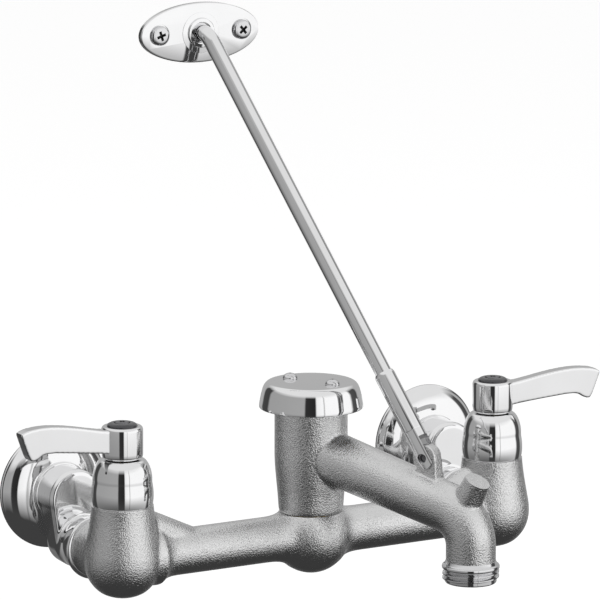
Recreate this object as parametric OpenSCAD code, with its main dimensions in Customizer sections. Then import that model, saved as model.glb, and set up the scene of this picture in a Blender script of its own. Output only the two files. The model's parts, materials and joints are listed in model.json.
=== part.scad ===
// Wall faucet for a service sink: two valves on one crossbar, a spout with a vacuum breaker,
// a pail hook and a hose thread, and a rod that braces the spout to the wall.
// Z is up, the wall is the plane Y = 0 and the faucet stands out toward -Y.
// The origin is on the wall, midway between the two inlets.

/* [Layout] */
// Distance between the two valve axes
valve_pitch = 203.2; // [190:0.1:220]
// Distance of the crossbar from the wall
wall_gap = 65; // [62:0.5:72]
// Height of the wall inlets above the crossbar
inlet_rise = 21; // [18:0.5:24]
// Sideways shift of each inlet, outward from its valve
inlet_shift = 2; // [0:0.5:5]
// Turn of the spout from straight ahead, toward +X
spout_turn = 24; // [0:1:30]
// Height of the brace's wall plate above the inlets
plate_height = 212.5; // [190:0.5:230]

/* [Crossbar casting] */
// Diameter of the crossbar between the bulbs
bar_d = 21.7; // [20:0.1:24]
// Greatest diameter of a valve bulb
bulb_d = 35.8; // [34:0.1:40]
// Depth of a valve bulb below the crossbar's axis
bulb_depth = 17.8; // [16:0.1:20]
// Height of a valve bulb's flat top above the crossbar's axis
bulb_top = 25.9; // [24:0.1:28]
// Diameter of the middle bulb that carries the spout
hub_d = 37.2; // [35:0.1:40]
// Height of the spout's seat above the crossbar's axis
hub_top = 11.2; // [9:0.1:12]
// Outer diameter of the tails that meet the offset arms
tail_d = 27.2; // [26:0.1:28]
// Diameter of the waterways
waterway_d = 13; // [10:0.5:14]

/* [Offset arms and flanges] */
// Diameter of the arm's two barrels
arm_d = 27.4; // [26:0.1:29]
// Outer diameter of the ring between arm and crossbar
ring_d = 29.4; // [28:0.1:32]
// Thickness of that ring
ring_t = 3; // [2:0.1:4]
// Diameter of the wall flange
flange_d = 57; // [52:0.5:64]
// Depth of the wall flange
flange_h = 8.2; // [7:0.1:9]
// Sheet thickness of the flange and of the cap
sheet_t = 1.2; // [0.8:0.1:1.6]
// Diameter of the tapped inlet hole
inlet_hole_d = 21.3; // [18:0.1:21.5]
// Depth of the tapped inlet hole
inlet_hole_depth = 10; // [8:0.5:11]

/* [Valves and handles] */
// Outer diameter of the bonnet
bonnet_d = 28.9; // [28:0.1:29.5]
// Height of the bonnet
bonnet_h = 22; // [20:0.1:24]
// Diameter of the bonnet's top
bonnet_top_d = 20.6; // [19:0.1:22]
// Diameter of the handle's hub
handle_hub_d = 19.4; // [18:0.1:21]
// Height of the handle's hub
handle_hub_h = 15.3; // [14:0.1:18]
// Reach of the lever from the stem
lever_reach = 55.5; // [48:0.5:64]
// Thickness of the lever
lever_t = 6.6; // [5:0.1:8]
// Diameter of the valve stem
stem_d = 8; // [7:0.1:9]
// Turn of the left lever toward the wall
left_lever_turn = 5; // [0:1:10]
// Turn of the right lever toward the front
right_lever_turn = 13; // [0:1:20]

/* [Spout] */
// Reach of the outlet from the column
spout_reach = 91; // [85:0.5:120]
// Diameter of the column under the cap
column_d = 34.6; // [33:0.1:37]
// Diameter of the column at its seat
column_foot_d = 30.4; // [29:0.1:32]
// Height of the column's top above the inlets
column_top = 44; // [43:0.5:46]
// Height of the arm's axis at the column
arm_z = 20.4; // [19:0.1:22]
// Fall of the arm toward the outlet, in degrees
arm_fall = 12.9; // [10:0.1:14]
// Diameter of the arm at the column
arm_root_d = 25.4; // [24:0.1:27]
// Diameter of the outlet's neck
neck_d = 23.3; // [22:0.1:25]
// Radius of the bend, on its centre line
bend_r = 17; // [15:0.5:20]
// Depth of the outlet's end below the inlets
outlet_drop = 31; // [29:0.5:40]
// Diameter over the hose thread
hose_d = 26.99; // [26.5:0.01:27.5]
// Length of the hose thread
hose_l = 6.4; // [6:0.1:8]
// Bore of the spout
spout_bore_d = 15; // [13:0.5:16]
// Diameter of the pail hook's top
hook_d = 12.2; // [11:0.1:13]
// Forward lean of the pail hook, in degrees
hook_lean = 28; // [20:1:35]

/* [Vacuum breaker] */
// Diameter of the cap's rim
cap_d = 49.2; // [47:0.1:52]
// Height of the cap
cap_h = 12.3; // [11.5:0.1:14]
// Height of the cap's rim above the inlets
cap_z = 40.5; // [40:0.1:42]
// Lift of the poppet
poppet_lift = 3; // [2:0.5:4]
// Diameter of the poppet's disc
poppet_d = 21; // [19:0.5:23]

/* [Brace] */
// Diameter of the rod
rod_d = 7.94; // [7.5:0.01:8.2]
// Diameter of the sleeve and the fork
sleeve_d = 9.8; // [9.6:0.1:10.4]
// Distance of the fork's pin from the column
pin_reach = 66.2; // [62:0.1:70]
// Height of the fork's pin above the inlets
pin_z = 24.9; // [24:0.1:27]
// Thickness of the cast lug
lug_t = 6.3; // [6:0.1:6.5]
// Diameter of the fork's pin
pin_d = 4; // [3.6:0.1:4.2]
// Distance from the pin to the seam of fork and sleeve
fork_l = 13.9; // [13:0.1:18]
// Length of the sleeve
sleeve_l = 30.7; // [26:0.1:40]
// Distance of the rod's corner from the wall
corner_gap = 10.2; // [9.5:0.1:12]
// Width of the elliptical wall plate
plate_w = 64; // [60:0.5:72]
// Height of the elliptical wall plate
plate_h = 28.5; // [26:0.5:32]
// Thickness of the wall plate
plate_t = 3; // [2.8:0.1:4]
// Distance between the wall screws
plate_screw_pitch = 44.45; // [42:0.01:46]

/* [Hidden] */
$fn = 64;
left = -1;
right = 1;

// Places that follow from the sizes above
valve_x = valve_pitch / 2;
inlet_x = valve_x + inlet_shift;
body_z = -inlet_rise;
seat_z = body_z + hub_top;
valve_z = body_z + bulb_top;

// Clearances, and a margin that cuts run past a face
slip = 0.05;
gap = 0.3;
past = 1;

// Small sizes that all the castings share
cast_r = 3;
edge_r = 1;
seal_t = 1.5;
head_h = 1.7;

// Shares of a pan head: its straight rim, and the width and length of its cross recess
head_rim_share = 0.35;
recess_w_share = 0.14;
recess_l_share = 0.56;

// Points along an arc from angle a to angle b
function arc(c, r, a, b, n = 8) =
    [for (i = [0:n]) c + r * [cos(a + (b - a) * i / n), sin(a + (b - a) * i / n)]];

// Points along part of an oval
function oval(c, rx, ry, a, b, n = 10) =
    [for (i = [0:n]) c + [rx * cos(a + (b - a) * i / n), ry * sin(a + (b - a) * i / n)]];

// The left side is the right side's mirror image
module on_side(side) {
    mirror([side < 0 ? 1 : 0, 0, 0]) children();
}

// A form whose local height runs from the wall toward -Y
module from_wall(x, z) {
    translate([x, 0, z]) rotate([90, 0, 0]) children();
}

module ring(d_out, d_in, h) {
    difference() {
        cylinder(d = d_out, h = h);
        translate([0, 0, -past]) cylinder(d = d_in, h = h + 2 * past);
    }
}

// A pan head with a cross recess and its shank below
module pan_screw(d_head, h_head, d_shank, l_shank) {
    recess_w = d_head * recess_w_share;
    recess_l = d_head * recess_l_share;
    difference() {
        rotate_extrude() polygon(concat(
            [[0, 0], [d_head / 2, 0]],
            oval([0, h_head * head_rim_share], d_head / 2, h_head * (1 - head_rim_share), 0, 90, 5)
        ));
        for (turn = [0, 90]) rotate(turn)
            translate([-recess_l / 2, -recess_w / 2, h_head * head_rim_share])
                cube([recess_l, recess_w, h_head]);
    }
    translate([0, 0, -l_shank]) cylinder(d = d_shank, h = l_shank);
}

// Crossbar casting: two valve bulbs, a middle bulb and two tails
tail_end = 39.5;
cavity_d = 22;
cavity_floor = 9;
collar_d = 25;
collar_h = 7;
flare_r = 12;
flare_h = 3.5;
neck_share = 0.815;
neck_from_share = 0.8;
bulb_oval_share = 1.2;
post_d = 18;
post_depth = 8;

// Radius against distance along X, with a flare at each bulb
module bar_outline() {
    bar_r = bar_d / 2;
    hub_side = hub_d / 2 - cast_r + flare_r;
    bulb_side = valve_x - bulb_d / 2 + cast_r - flare_r;
    polygon(concat(
        [[0, 0], [bar_r + flare_h, 0]],
        arc([bar_r + flare_r, hub_side], flare_r, -135, -180, 4),
        arc([bar_r + flare_r, bulb_side], flare_r, -180, -225, 4),
        [[bar_r + flare_h, valve_x], [0, valve_x]]
    ));
}

module bulb_outline() {
    neck_r = neck_share * bulb_d / 2;
    polygon(concat(
        [[0, bulb_top + collar_h], [collar_d / 2, bulb_top + collar_h], [collar_d / 2, bulb_top]],
        [[neck_r, bulb_top], [neck_r + edge_r / 4, bulb_top * neck_from_share]],
        oval([0, -edge_r], bulb_d / 2, bulb_top * bulb_oval_share, 32, 0, 6),
        oval([0, -edge_r], bulb_d / 2, bulb_depth - edge_r, -9, -90, 9)
    ));
}

module crossbar_body() {
    color("darkgray") translate([0, -wall_gap, body_z]) difference() {
        union() {
            for (side = [left, right]) on_side(side) {
                rotate([0, 90, 0]) rotate_extrude() bar_outline();
                translate([valve_x, 0, 0]) rotate_extrude() bulb_outline();
                translate([valve_x, 0, 0]) rotate([-90, 0, 0]) cylinder(d = tail_d, h = wall_gap - tail_end);
            }
            sphere(d = hub_d);
        }
        translate([0, 0, hub_top]) cylinder(d = 2 * hub_d, h = hub_d);
        cylinder(d = waterway_d, h = hub_d);
        translate([0, 0, hub_top - post_depth]) cylinder(d = post_d, h = hub_d);
        rotate([0, 90, 0]) cylinder(d = waterway_d, h = valve_pitch - cavity_d, center = true);
        for (side = [left, right]) translate([side * valve_x, 0, 0]) {
            translate([0, 0, cavity_floor]) cylinder(d = cavity_d, h = bulb_top + collar_h);
            sphere(d = waterway_d);
            cylinder(d = waterway_d, h = bulb_top);
            rotate([-90, 0, 0]) cylinder(d = waterway_d, h = wall_gap);
        }
    }
}

// Offset arms, their rings and washers, and the wall flanges
arm_face = tail_end - ring_t;
flange_clear = 0.1;
collar_face = flange_h + flange_clear;
collar_t = 1.8;
upper_end = 25;
waist_back = 13;
waist_front = 21;
waist_w = 24;
shank_wall = 2.7;
shank_od = inlet_hole_d + 2 * shank_wall;
collar_lip = 0.8;
collar_od = arm_d + 2 * collar_lip;
arm_bore_d = 14;
link_bore_d = 9;
link_bore_w = 17;
bore_back = 11.5;
lip_d = 20;
ring_clear = 0.5;

module offset_arm(side) {
    link_l = sqrt(inlet_rise * inlet_rise + inlet_shift * inlet_shift);
    link_tilt = atan2(inlet_shift, inlet_rise);
    color("silver") on_side(side) difference() {
        union() {
            from_wall(inlet_x, 0) rotate_extrude() polygon(concat(
                [[0, 0], [shank_od / 2, 0], [shank_od / 2, collar_face], [collar_od / 2, collar_face]],
                [[collar_od / 2, collar_face + collar_t], [arm_d / 2, collar_face + collar_t]],
                arc([arm_d / 2 - cast_r, upper_end - cast_r], cast_r, 0, 90, 5),
                [[0, upper_end]]
            ));
            from_wall(valve_x, body_z) rotate_extrude() polygon(concat(
                [[0, collar_face + edge_r]],
                arc([arm_d / 2 - 2 * cast_r, collar_face + edge_r + 2 * cast_r], 2 * cast_r, -80, 0, 6),
                [[arm_d / 2, arm_face], [0, arm_face]]
            ));
            translate([valve_x, 0, body_z]) rotate([90, link_tilt, 0])
                translate([-waist_w / 2, 0, waist_back]) cube([waist_w, link_l, waist_front - waist_back]);
        }
        from_wall(inlet_x, 0) {
            translate([0, 0, -past]) cylinder(d = inlet_hole_d, h = inlet_hole_depth + past);
            cylinder(d = arm_bore_d, h = upper_end - cast_r);
        }
        translate([valve_x, -link_bore_w, body_z]) rotate([0, link_tilt, 0])
            cylinder(d = link_bore_d, h = link_l);
        from_wall(valve_x, body_z) {
            translate([0, 0, bore_back]) cylinder(d = arm_bore_d, h = wall_gap);
            translate([0, 0, arm_face - seal_t]) cylinder(d = lip_d, h = wall_gap);
        }
    }
}

// The ring closes the joint between the arm's face and the tail's face
module union_ring(side) {
    h = ring_t - 2 * slip;
    color("gainsboro") on_side(side) from_wall(valve_x, body_z) translate([0, 0, arm_face])
        rotate_extrude() polygon(concat(
            [[lip_d / 2 + ring_clear, 0], [ring_d / 2 - edge_r, 0]],
            arc([ring_d / 2 - edge_r, h / 2], h / 2, -80, 80, 6),
            [[ring_d / 2 - edge_r, h], [lip_d / 2 + ring_clear, h]]
        ));
}

// The washer sits in the arm's recess and meets the tail's face
module inlet_washer(side) {
    color("dimgray") on_side(side) from_wall(valve_x, body_z) translate([0, 0, arm_face - seal_t])
        ring(lip_d, arm_bore_d, ring_t + seal_t - 2 * slip);
}

// The flange's section: distances in from the rim, and the height at each
flange_rim_share = 0.3;
flange_steps = [1, 3, 5.5, 9, 12, 13];
flange_height_shares = [0.37, 0.4, 0.58, 0.8, 0.95, 1];

module wall_flange(side) {
    rim_r = flange_d / 2;
    hole_r = shank_od / 2 + slip;
    dome = [for (i = [0:5]) [rim_r - flange_steps[i], flange_h * flange_height_shares[i]]];
    color("silver") on_side(side) from_wall(inlet_x, 0) rotate_extrude() polygon(concat(
        [[rim_r - sheet_t, 0], [rim_r, 0], [rim_r, flange_h * flange_rim_share]],
        dome,
        [[hole_r, flange_h], [hole_r, flange_h - sheet_t]],
        [for (i = [len(dome) - 1:-1:1]) dome[i] + [-sheet_t / 2, -sheet_t]],
        [[rim_r - sheet_t, flange_h * flange_height_shares[0] - sheet_t]]
    ));
}

// Valves: bonnet, cartridge, discs and stem
bonnet_z = valve_z + bonnet_h;
bonnet_wall = 1.9;
cartridge_d = 21.8;
cartridge_foot = body_z + cavity_floor;
seat_t = 2.5;
disc_d = 17;
disc_t = 2.4;
flange_t = 1;
screw_depth = 8;
shank_d = 4.2;
stem_foot = cartridge_foot + seat_t + disc_t;
handle_z = bonnet_z + gap;
handle_top = handle_z + handle_hub_h;
stem_drop = 4;
stem_top = handle_top - stem_drop;
shoulder_h = 9;
stem_clear = 2;
disc_trim = 1;
port_place_share = 0.24;
port_d_share = 0.3;

module at_valve(side, z) {
    translate([side * valve_x, -wall_gap, z]) children();
}

module bonnet(side) {
    inner_r = bonnet_d / 2 - bonnet_wall;
    shoulder = (bonnet_d - bonnet_top_d) / 2;
    color("silver") at_valve(side, valve_z) rotate_extrude() polygon(concat(
        [[collar_d / 2 + slip, 0], [bonnet_d / 2, 0]],
        oval([bonnet_top_d / 2, bonnet_h - shoulder_h], shoulder, shoulder_h, 0, 90, 8),
        [[stem_d / 2 + stem_clear, bonnet_h], [stem_d / 2 + stem_clear, bonnet_h - bonnet_wall]],
        [[cartridge_d / 2 + slip, bonnet_h - bonnet_wall - edge_r], [cartridge_d / 2 + slip, collar_h + gap]],
        [[collar_d / 2 + slip, collar_h + gap]]
    ));
}

// The cartridge holds the discs and guides the stem
module cartridge(side) {
    h = bonnet_z - 2 * bonnet_wall - cartridge_foot;
    chamber = seat_t + disc_t + flange_t + 4 * slip;
    color("goldenrod") at_valve(side, cartridge_foot) difference() {
        cylinder(d = cartridge_d, h = h);
        translate([0, 0, -past]) cylinder(d = disc_d + 2 * slip, h = chamber + past);
        cylinder(d = stem_d + 2 * slip, h = h + past);
    }
}

// Each ceramic disc has two ports that line up at a quarter turn
module ported_disc(d, t) {
    difference() {
        cylinder(d = d, h = t);
        for (turn = [0, 180]) rotate(turn) translate([d * port_place_share, 0, -past])
            cylinder(d = d * port_d_share, h = t + 2 * past);
    }
}

module seat_disc(side) {
    color("white") at_valve(side, cartridge_foot) ported_disc(disc_d, seat_t - slip);
}

module turn_disc(side) {
    opened = side < 0 ? 0 : right_lever_turn + left_lever_turn;
    color("whitesmoke") at_valve(side, cartridge_foot + seat_t) rotate(90 - opened)
        ported_disc(disc_d - disc_trim, disc_t);
}

module valve_stem(side) {
    color("goldenrod") at_valve(side, stem_foot) difference() {
        union() {
            cylinder(d = disc_d - 2 * disc_trim, h = flange_t);
            cylinder(d = stem_d, h = stem_top - stem_foot);
        }
        translate([0, 0, stem_top - stem_foot - screw_depth]) cylinder(d = shank_d, h = 2 * screw_depth);
    }
}

// Handles: a turned hub and a lever that drops at its tip
ring_seat_d = 14.4;
ring_seat_h = 1.5;
ring_seat_depth = 0.6;
ring_well_d = 7.2;
ring_well_h = 0.7;
ring_edge_h = 0.8;
hub_foot_inset = 0.5;
handle_screw_head_d = 7;
handle_screw_head_h = 1.4;
handle_screw_l = 11;

// The lever's root, its rise, its crown, its tip and the hollow under it
lever_root = 9;
lever_run = 6;
lever_flare = 1;
lever_step = 0.4;
lever_foot = 3.2;
lever_mid_h = 4.8;
lever_rise_share = 0.34;
crown_place_share = 0.86;
crown_l_share = 0.3;
crown_h = 5.4;
crown_sink = 2;
tip_l = 7;
nose_l = 3.4;
nose_h = 6.4;
curl_l = 7.2;
curl_h = 6;
curl_r = 3;
hollow_l = 16;
hollow_w = 7;
hollow_h = 2.4;

function lever_turn(side) = side < 0 ? -left_lever_turn - 180 : -right_lever_turn;

// Side outline of the lever, with X outward and Y up from the hub's foot
module lever_side() {
    top = handle_hub_h;
    tip = lever_reach;
    polygon(concat(
        [[0, lever_foot], [0, top - lever_step], [lever_root, top - lever_step]],
        [[tip * lever_rise_share, top]],
        oval([tip * crown_place_share, top - crown_sink], tip * crown_l_share, crown_h, 155, 90, 5),
        oval([tip - tip_l, top - crown_sink], tip_l, crown_h, 80, -15, 6),
        [[tip - nose_l, nose_h]],
        arc([tip - curl_l, curl_h], curl_r, -30, -120, 4),
        oval([tip - hollow_l, lever_foot], hollow_w, hollow_h, 30, 90, 3),
        [[tip / 2, lever_mid_h]]
    ));
}

module lever_plan() {
    root = lever_t / 2 + lever_flare;
    polygon(concat(
        [[0, root + lever_flare], [lever_root, root + lever_step], [lever_root + lever_run, lever_t / 2]],
        arc([lever_reach - lever_t / 2, 0], lever_t / 2, 75, -75, 8),
        [[lever_root + lever_run, -lever_t / 2], [lever_root, -root - lever_step], [0, -root - lever_flare]]
    ));
}

module handle(side) {
    hub_r = handle_hub_d / 2;
    color("silver") at_valve(side, handle_z) rotate(lever_turn(side)) difference() {
        union() {
            rotate_extrude() polygon(concat(
                [[0, 0], [hub_r - hub_foot_inset - edge_r, 0]],
                arc([hub_r - hub_foot_inset - edge_r, edge_r], edge_r, -80, 0, 3),
                arc([hub_r - edge_r, handle_hub_h - edge_r], edge_r, 0, 90, 4),
                [[0, handle_hub_h]]
            ));
            intersection() {
                rotate([90, 0, 0]) linear_extrude(3 * lever_t, center = true) lever_side();
                linear_extrude(2 * handle_hub_h) lever_plan();
            }
        }
        translate([0, 0, -past]) cylinder(d = stem_d, h = stem_top - handle_z + past);
        cylinder(d = shank_d, h = 2 * handle_hub_h);
        translate([0, 0, handle_hub_h - ring_seat_depth]) cylinder(d = ring_seat_d, h = handle_hub_h);
    }
}

module index_ring(side) {
    ring_w = (ring_seat_d - ring_well_d) / 2;
    color("dimgray") at_valve(side, handle_top - ring_seat_depth) rotate_extrude() polygon(concat(
        [[shank_d / 2, 0], [ring_seat_d / 2, 0], [ring_seat_d / 2, ring_edge_h]],
        oval([ring_well_d / 2, ring_edge_h], ring_w, ring_seat_h - ring_edge_h, 15, 90, 4),
        [[ring_well_d / 2, ring_well_h], [shank_d / 2, ring_well_h]]
    ));
}

module handle_screw(side) {
    color("gainsboro") at_valve(side, handle_top - ring_seat_depth + ring_well_h) rotate(20)
        pan_screw(handle_screw_head_d, handle_screw_head_h, shank_d, handle_screw_l);
}

// Spout casting, in its own frame: the column on Z, the outlet toward -Y
bead_d = 27.4;
bead_h = 2.2;
chamber_d = 27.6;
chamber_floor = 24;
lug_r = 6.3;
hook_top = 17.3;
hook_past = 3.4;
hook_reach = spout_reach + hook_past;
hook_l = 18;
hook_flare = 3;
lug_flare = 3;

// The column's section: heights above its seat, and its growth at each
column_steps = [8, 17, 27];
column_growth_shares = [0.3, 0.75, 1];

module at_spout(z = 0) {
    translate([0, -wall_gap, z]) rotate(spout_turn) children();
}

// The arm's axis meets the outlet's axis at this height
join_z = arm_z - spout_reach * tan(arm_fall);
bend_turn = 90 - arm_fall;
bend_tangent = bend_r * tan(bend_turn / 2);
bend_lap = 2;
arm_l = spout_reach / cos(arm_fall) - bend_tangent;

// The run of arm, bend and neck, down to a height
module spout_tube(d_root, d_end, foot_z) {
    neck_top = join_z - bend_tangent;
    translate([0, bend_r - spout_reach, neck_top]) rotate([90, 0, -90]) {
        rotate_extrude(angle = bend_turn + bend_lap) translate([bend_r, 0]) circle(d = d_end);
        rotate(bend_turn) translate([bend_r, 0, 0]) rotate([-90, 0, 0])
            cylinder(d1 = d_end + gap, d2 = d_root, h = arm_l);
    }
    translate([0, -spout_reach, foot_z]) cylinder(d = d_end, h = neck_top - foot_z);
}

module column_outline() {
    r_top = column_d / 2;
    r_foot = column_foot_d / 2;
    grow = r_top - r_foot;
    polygon(concat(
        [[0, seat_z + gap], [r_foot, seat_z + gap]],
        [for (i = [0:2]) [r_foot + grow * column_growth_shares[i], seat_z + column_steps[i]]],
        [[r_top, column_top], [0, column_top]]
    ));
}

module lug() {
    base_z = arm_z - pin_reach * tan(arm_fall);
    base_r = lug_r + lug_flare;
    rotate([90, 0, 90]) linear_extrude(lug_t, center = true) translate([-pin_reach, 0]) {
        translate([0, pin_z]) circle(r = lug_r);
        polygon([
            [-lug_r, pin_z], [-base_r, base_z + lug_r], [-base_r, base_z],
            [base_r, base_z], [base_r, base_z + lug_r], [lug_r, pin_z]
        ]);
    }
}

module pail_hook() {
    translate([0, -hook_reach, hook_top]) rotate([hook_lean, 0, 0]) translate([0, 0, -hook_l])
        cylinder(d1 = hook_d + hook_flare, d2 = hook_d, h = hook_l);
}

// The hose thread is left plain at its outer diameter, with a round bead above it
module hose_end() {
    translate([0, -spout_reach, -outlet_drop]) rotate_extrude() polygon(concat(
        [[0, 0], [hose_d / 2, 0], [hose_d / 2, hose_l]],
        arc([bead_d / 2 - bead_h / 2, hose_l + bead_h / 2], bead_h / 2, -60, 90, 6),
        [[0, hose_l + bead_h]]
    ));
}

module spout_casting() {
    color("darkgray") at_spout() difference() {
        union() {
            rotate_extrude() column_outline();
            spout_tube(arm_root_d, neck_d, hose_l - outlet_drop);
            lug();
            pail_hook();
            hose_end();
        }
        translate([0, 0, seat_z - past]) cylinder(d = post_d + 2 * slip, h = post_grip + past);
        translate([0, 0, seat_z + post_grip]) cylinder(d = passage_d, h = column_top);
        translate([0, 0, chamber_floor]) cylinder(d = chamber_d, h = column_top);
        spout_tube(spout_bore_d, spout_bore_d, -outlet_drop - past);
        translate([0, -pin_reach, pin_z]) rotate([0, 90, 0])
            cylinder(d = pin_d + 2 * slip, h = 2 * lug_t, center = true);
    }
}

// The post carries the spout, the nut holds it down and the riser brings water to the breaker
post_grip = 9;
passage_d = 22.6;
riser_d = 15;
riser_bore_d = 11;
nut_w = 21;
nut_h = 4;

module spout_post() {
    color("goldenrod") at_spout() difference() {
        union() {
            translate([0, 0, seat_z - post_depth]) cylinder(d = post_d, h = post_depth + post_grip + slip);
            translate([0, 0, seat_z]) cylinder(d = riser_d, h = chamber_floor - seat_z);
        }
        translate([0, 0, seat_z + post_grip / 2]) ring(post_d + past, post_d - 2 * seal_t, seal_t);
        translate([0, 0, seat_z - 2 * post_depth]) cylinder(d = riser_bore_d, h = chamber_floor - body_z);
    }
}

module post_seal() {
    color("dimgray") at_spout(seat_z + post_grip / 2) ring(post_d, post_d - 2 * seal_t, seal_t);
}

module post_nut() {
    color("goldenrod") at_spout(seat_z + post_grip + slip) difference() {
        cylinder(d = nut_w, h = nut_h, $fn = 6);
        translate([0, 0, -past]) cylinder(d = riser_d, h = nut_h + 2 * past);
    }
}

// Vacuum breaker: a poppet between its seat and the guide, under a screwed cap
seat_ring_t = 2.5;
poppet_z = chamber_floor + seat_ring_t + slip;
poppet_t = 2.5;
poppet_stem_d = 4;
guide_z = poppet_z + poppet_t + poppet_lift + gap;
guide_t = 2;
guide_rim_t = 2;
guide_rim_d = 33;
guide_bore_d = 20;
air_hole_d = 4;
boss_r = 13.2;
cap_top_t = 2;
cap_screw_r = 12.2;
cap_screw_d = 3;
cap_boss_d = 6.5;
cap_taper_share = 0.925;
cap_edge_r = 2;
cap_rim_h = 2.6;
cap_screw_head_d = 7.2;
cap_screw_l = 8;
seat_ring_w = 4;
air_hole_share = 0.3;

module breaker_seat() {
    color("goldenrod") at_spout(chamber_floor)
        ring(riser_bore_d + 2 * seat_ring_w, riser_bore_d, seat_ring_t);
}

module breaker_poppet() {
    color("white") at_spout(poppet_z) {
        cylinder(d = poppet_d, h = poppet_t);
        cylinder(d = poppet_stem_d, h = column_top - poppet_z - poppet_lift);
    }
}

module breaker_guide() {
    boss_h = cap_z + cap_h - cap_top_t - column_top;
    color("goldenrod") at_spout() difference() {
        union() {
            translate([0, 0, guide_z]) cylinder(d = chamber_d - 2 * slip, h = column_top - guide_z);
            translate([0, 0, column_top]) cylinder(d = guide_rim_d, h = guide_rim_t);
            for (side = [left, right]) translate([0, side * boss_r, column_top])
                cylinder(d = cap_boss_d, h = boss_h);
        }
        translate([0, 0, guide_z + guide_t])
            cylinder(d = guide_bore_d, h = column_top + guide_rim_t - guide_z);
        translate([0, 0, guide_z - past]) cylinder(d = poppet_stem_d + 2 * slip, h = guide_t + 2 * past);
        for (turn = [0:60:300]) rotate(turn) translate([guide_bore_d * air_hole_share, 0, guide_z - past])
            cylinder(d = air_hole_d, h = guide_t + 2 * past);
        for (side = [left, right]) translate([0, side * cap_screw_r, cap_z])
            cylinder(d = cap_screw_d, h = cap_h);
    }
}

// Half of the cap's section: a rim, a tapered side, a rounded edge and a flat top
module cap_outline() {
    rim_r = cap_d / 2;
    top_r = rim_r * cap_taper_share;
    polygon(concat(
        [[rim_r - sheet_t, 0], [rim_r, 0], [rim_r, edge_r]],
        [[rim_r - edge_r / 2, cap_rim_h]],
        arc([top_r - cap_edge_r, cap_h - cap_edge_r], cap_edge_r, 12, 90, 6),
        [[0, cap_h], [0, cap_h - cap_top_t]],
        [[top_r - cap_edge_r - sheet_t, cap_h - cap_top_t]],
        [[top_r - sheet_t - edge_r / 2, cap_h - cap_top_t - edge_r]],
        [[rim_r - sheet_t - edge_r / 2, cap_rim_h]]
    ));
}

module breaker_cap() {
    color("silver") at_spout(cap_z) difference() {
        rotate_extrude() cap_outline();
        for (side = [left, right]) translate([0, side * cap_screw_r, 0])
            cylinder(d = cap_screw_d, h = 2 * cap_h);
    }
}

module cap_screws() {
    color("gainsboro") at_spout(cap_z + cap_h) for (side = [left, right])
        translate([0, side * cap_screw_r, 0]) rotate(side * 35)
            pan_screw(cap_screw_head_d, head_h, cap_screw_d, cap_screw_l);
}

// Brace: its line runs from the fork's pin to the rod's corner in front of the plate
plate_x = -(wall_gap - corner_gap) * tan(spout_turn);
brace_run = (wall_gap - corner_gap) / cos(spout_turn) + pin_reach;
brace_up = plate_height - pin_z;
brace_rise = atan2(brace_up, brace_run);
brace_l = sqrt(brace_run * brace_run + brace_up * brace_up);

module at_brace(h = 0) {
    at_spout() translate([0, -pin_reach, pin_z]) rotate([brace_rise - 90, 0, 0])
        translate([0, 0, h]) children();
}

fork_end_r = 5.3;
slot_w = lug_t + 2 * gap;
lug_clear = 1.4;
slot_top = lug_r + lug_clear;
stud_d = 6;
stud_l = 8;
rod_gap = 6;
rod_start = fork_l + stud_l + rod_gap;
pin_inset = 0.6;

module brace_fork() {
    color("silver") at_brace() difference() {
        union() {
            intersection() {
                translate([0, 0, -sleeve_d]) cylinder(d = sleeve_d, h = sleeve_d + fork_l);
                union() {
                    rotate([0, 90, 0]) cylinder(r = fork_end_r, h = 2 * sleeve_d, center = true);
                    translate([-sleeve_d, -sleeve_d, 0]) cube([2 * sleeve_d, 2 * sleeve_d, fork_l]);
                }
            }
            cylinder(d = stud_d, h = fork_l + stud_l);
        }
        translate([-slot_w / 2, -sleeve_d, -sleeve_d]) cube([slot_w, 2 * sleeve_d, sleeve_d + slot_top]);
        rotate([0, 90, 0]) cylinder(d = pin_d, h = 2 * sleeve_d, center = true);
    }
}

// The pin is pressed in the fork and ends just inside its sides
module fork_pin() {
    color("gray") at_brace() rotate([0, 90, 0])
        cylinder(d = pin_d, h = sleeve_d - 2 * pin_inset, center = true);
}

module brace_sleeve() {
    color("silver") at_brace(fork_l) difference() {
        cylinder(d = sleeve_d, h = sleeve_l);
        translate([0, 0, -past]) cylinder(d = stud_d, h = stud_l + past);
        translate([0, 0, stud_l]) cylinder(d = rod_d + 2 * slip, h = sleeve_l);
    }
}

// Rod: straight, then bent square to the wall, with a riveted end in the plate
rod_bend_r = 7;
rod_turn = acos(cos(spout_turn) * cos(brace_rise));
rod_tangent = rod_bend_r * tan(rod_turn / 2);
rod_tilt = -atan2(sin(spout_turn) * cos(brace_rise), sin(brace_rise));
floor_front = 2.2;
floor_t = 1;
washer_t = 0.8;
washer_d = 10;
spigot_d = 5.9;
rivet_d = 8.6;
rivet_t = 0.8;

module brace_rod() {
    end_gap = floor_front + slip + washer_t;
    color("silver") {
        translate([plate_x, -corner_gap, plate_height]) rotate([0, rod_tilt, 0])
            translate([0, rod_tangent, -rod_bend_r]) rotate([0, -90, 0]) {
                rotate(-rod_turn) {
                    rotate_extrude(angle = rod_turn) translate([rod_bend_r, 0]) circle(d = rod_d);
                    translate([rod_bend_r, 0, 0]) rotate([90, 0, 0])
                        cylinder(d = rod_d, h = brace_l - rod_tangent - rod_start);
                }
                translate([rod_bend_r, 0, 0]) rotate([-90, 0, 0])
                    cylinder(d = rod_d, h = corner_gap - rod_tangent - end_gap);
            }
        from_wall(plate_x, plate_height) {
            foot = floor_front - floor_t - slip;
            translate([0, 0, foot]) cylinder(d = spigot_d, h = end_gap - foot);
            translate([0, 0, foot - rivet_t]) cylinder(d = rivet_d, h = rivet_t);
        }
    }
}

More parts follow.
